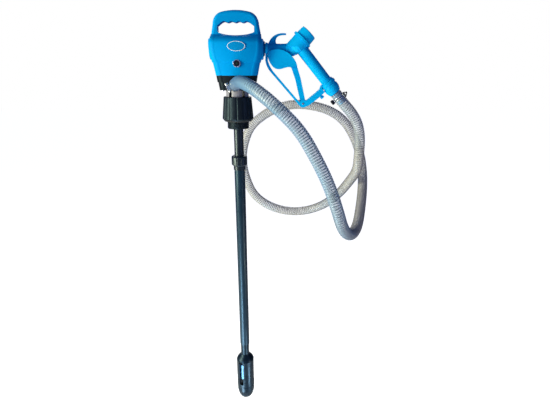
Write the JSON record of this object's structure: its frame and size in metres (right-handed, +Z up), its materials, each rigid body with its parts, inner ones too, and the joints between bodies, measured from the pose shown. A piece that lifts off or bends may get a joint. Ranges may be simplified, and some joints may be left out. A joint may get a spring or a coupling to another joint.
{
  "type": "drum pump",
  "caption": "Battery barrel pump with a carrying handle, telescopic suction tube with strainer foot, threaded bung adapter, clear hose and trigger nozzle.",
  "frame": {"origin": "on the suction tube's axis, at the seat plane of the bung nut that rests on the drum", "axes": "+Z up along the suction tube, the outlet and power button face -Y, the parked nozzle is on +X"},
  "size_m": [0.4714, 0.5236, 1.2445],
  "materials": {
    "blue_shell": "satin",
    "black_plastic": "satin",
    "badge_blue": "gloss",
    "chrome_trim": "polished",
    "button_black": "gloss",
    "lamp_green": "gloss",
    "battery_grey": "matte",
    "board_green": "gloss",
    "steel": "satin",
    "motor_steel": "satin",
    "seal_rubber": "matte",
    "neck_grey": "satin",
    "grey_plastic": "satin",
    "hose_clear": "smooth",
    "impeller_white": "satin",
    "sleeve_steel": "satin",
    "brass_parts": "satin"
  },
  "bodies": {
    "pump_body": {"front_shell": "blue_shell", "rear_shell": "blue_shell", "shell_screws": "steel", "badge_plate": "badge_blue", "button_bezel": "chrome_trim", "battery_pack": "battery_grey", "control_board": "board_green", "charge_socket": "button_black", "motor_can": "motor_steel", "base_housing": "black_plastic", "base_screws": "steel", "shaft_seal": "seal_rubber", "outlet_elbow": "blue_shell", "outlet_clamp_band": "steel", "outlet_clamp_screw": "steel", "neck_collar": "neck_grey", "upper_tube": "black_plastic", "tube_seal": "seal_rubber", "nozzle_holder": "blue_shell", "hose_main": "hose_clear"},
    "power_button": {"power_button": "button_black", "button_lamp": "lamp_green"},
    "drive_rotor": {"motor_rotor": "motor_steel", "shaft_coupler": "brass_parts", "upper_shaft": "steel"},
    "bung_adapter": {"bung_nut": "grey_plastic", "bung_thread": "black_plastic", "bung_gasket": "seal_rubber"},
    "lower_tube": {"lower_tube": "black_plastic", "tube_collet": "neck_grey", "lock_ring": "black_plastic", "foot_strainer": "black_plastic", "foot_sleeve": "sleeve_steel", "foot_cap": "black_plastic", "foot_bearing": "impeller_white"},
    "lock_collar": {"lock_collar": "black_plastic"},
    "lower_shaft": {"lower_shaft": "steel", "impeller": "impeller_white"},
    "nozzle": {"nozzle_spout": "blue_shell", "nozzle_body": "blue_shell", "valve_cap": "blue_shell", "valve_spring": "steel", "inlet_collar": "blue_shell", "hose_barb": "blue_shell", "nozzle_clamp": "steel", "nozzle_clamp_screw": "black_plastic", "nozzle_guard": "blue_shell", "guard_peg": "black_plastic", "lever_pin": "steel", "hose_nozzle_end": "hose_clear"},
    "lever": {"nozzle_lever": "blue_shell"},
    "valve": {"valve_disc": "seal_rubber", "valve_stem": "steel"}
  },
  "joints": [
    {"name": "power_button_press", "type": "slide", "parent": "pump_body", "child": "power_button", "axis": [0, 1, 0], "range_m": [0, 0.0015], "stiffness_N_per_m": 600},
    {"name": "drive_spin", "type": "hinge", "parent": "pump_body", "child": "drive_rotor", "pos_m": [0, 0, 0.15], "axis": [0, 0, 1], "continuous": true},
    {"name": "shaft_spin", "type": "hinge", "parent": "lower_tube", "child": "lower_shaft", "pos_m": [0, 0, -0.5], "axis": [0, 0, 1], "continuous": true},
    {"name": "bung_nut_spin", "type": "hinge", "parent": "pump_body", "child": "bung_adapter", "pos_m": [0, 0, 0.03], "axis": [0, 0, 1], "continuous": true},
    {"name": "telescope", "type": "slide", "parent": "pump_body", "child": "lower_tube", "axis": [0, 0, 1], "range_m": [-0.25, 0.06]},
    {"name": "lock_collar_twist", "type": "hinge", "parent": "lower_tube", "child": "lock_collar", "pos_m": [0, 0, -0.11], "axis": [0, 0, 1], "range_deg": [0, 90]},
    {"name": "nozzle_draw", "type": "slide", "parent": "pump_body", "child": "nozzle", "axis": [1, 0, 0], "range_m": [0, 0.055]},
    {"name": "lever_squeeze", "type": "hinge", "parent": "nozzle", "child": "lever", "pos_m": [0.179, 0, 0.047], "axis": [0, 1, 0], "range_deg": [0, 6], "stiffness_Nm_per_rad": 4},
    {"name": "valve_lift", "type": "slide", "parent": "nozzle", "child": "valve", "axis": [0.6873, 0, 0.7263], "range_m": [0, 0.012], "deforming": ["valve_spring"]}
  ],
  "couplings": [
    {"joint": "shaft_spin", "follows": "drive_spin", "ratio": 1},
    {"joint": "valve_lift", "follows": "lever_squeeze", "m_per_rad": 0.1098}
  ]
}
